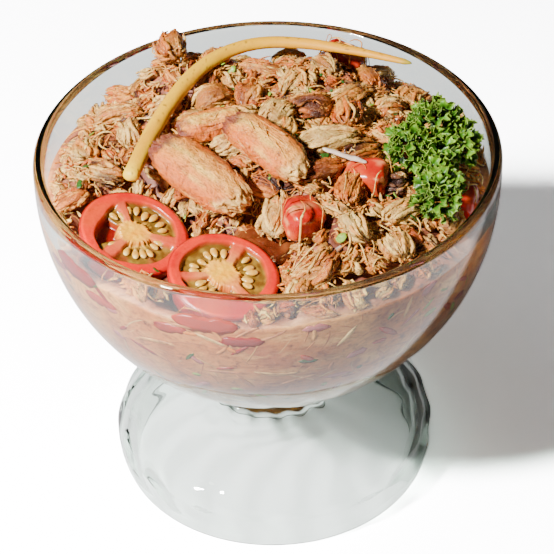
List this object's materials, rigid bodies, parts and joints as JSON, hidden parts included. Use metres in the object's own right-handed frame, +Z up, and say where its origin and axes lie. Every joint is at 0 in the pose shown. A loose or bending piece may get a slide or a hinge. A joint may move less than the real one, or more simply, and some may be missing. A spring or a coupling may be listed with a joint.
{
  "type": "crab ceviche in a footed glass bowl",
  "caption": "Crab ceviche heaped in a clear footed glass bowl, topped with halved cherry tomatoes, diced tomato, a yellow pepper strip and a sprig of curly parsley.",
  "frame": {"origin": "middle of the foot's resting ring, on the surface that the glass stands on", "axes": "+Z up through the glass; -Y towards the viewer, with the tomato halves at the front left; +X to the viewer's right, with the parsley"},
  "size_m": [0.11, 0.11, 0.1043],
  "materials": {
    "clear_glass": "clear pressed soda-lime glass, fire polished, with a faint swirled optic",
    "crab_ceviche": "moist shredded crab meat in its juice, cream to peach with brown bits",
    "tomato": "wet cut cherry tomato, glossy skin and juicy flesh",
    "crab_meat": "cooked leg meat, fibrous and moist, peach with red-orange skin",
    "yellow_pepper": "waxy yellow pepper skin",
    "parsley": "fresh curly parsley leaf"
  },
  "bodies": {
    "root": {"glass_bowl": "clear_glass", "ceviche_mix": "crab_ceviche", "tomato_half_left": "tomato", "tomato_half_right": "tomato", "tomato_dice_1": "tomato", "tomato_dice_2": "tomato", "tomato_dice_3": "tomato", "tomato_dice_4": "tomato", "crab_leg_1": "crab_meat", "crab_leg_2": "crab_meat", "crab_leg_3": "crab_meat", "pepper_strip": "yellow_pepper", "parsley_sprig": "parsley"}
  },
  "joints": []
}
